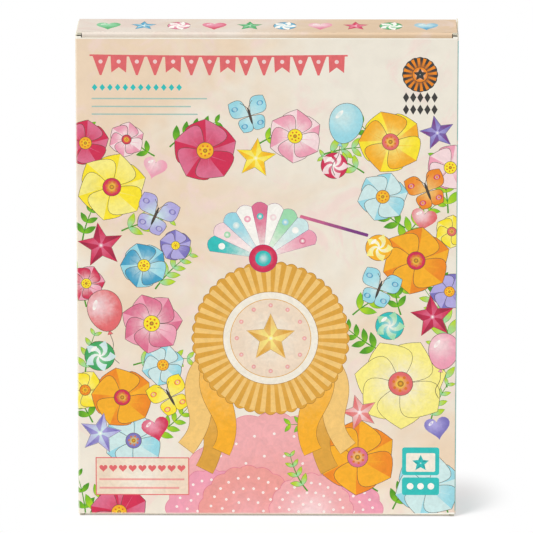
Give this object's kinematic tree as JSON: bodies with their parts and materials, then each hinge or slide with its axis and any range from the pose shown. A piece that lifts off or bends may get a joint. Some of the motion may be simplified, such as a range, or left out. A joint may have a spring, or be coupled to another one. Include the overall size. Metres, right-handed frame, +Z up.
{
  "type": "tuck-top folding carton",
  "caption": "Tall shallow folding carton of printed board with hinged tuck lids at top and bottom, dust flaps and a glued side seam.",
  "frame": {"origin": "middle of the footprint, on the surface that the carton stands on", "axes": "+Z up, the front panel faces -Y, the lids hinge on the back panel at +Y, +X to the right seen from the front"},
  "size_m": [0.204, 0.04, 0.2703],
  "materials": {
    "printed_board": "satin coated board, printed outside, white inside",
    "lid_board": "satin coated board, printed outside, white inside",
    "base_board": "satin coated board, white inside"
  },
  "bodies": {
    "carton": {"carton_body": "printed_board"},
    "lid": {"top_lid": "lid_board"},
    "base_lid": {"bottom_lid": "base_board"}
  },
  "joints": [
    {"name": "lid_hinge", "type": "hinge", "parent": "carton", "child": "lid", "pos_m": [0, 0.0195, 0.2655], "axis": [-1, 0, 0], "range_deg": [0, 180]},
    {"name": "base_lid_hinge", "type": "hinge", "parent": "carton", "child": "base_lid", "pos_m": [0, 0.0195, 0.0005], "axis": [1, 0, 0], "range_deg": [0, 180]}
  ]
}
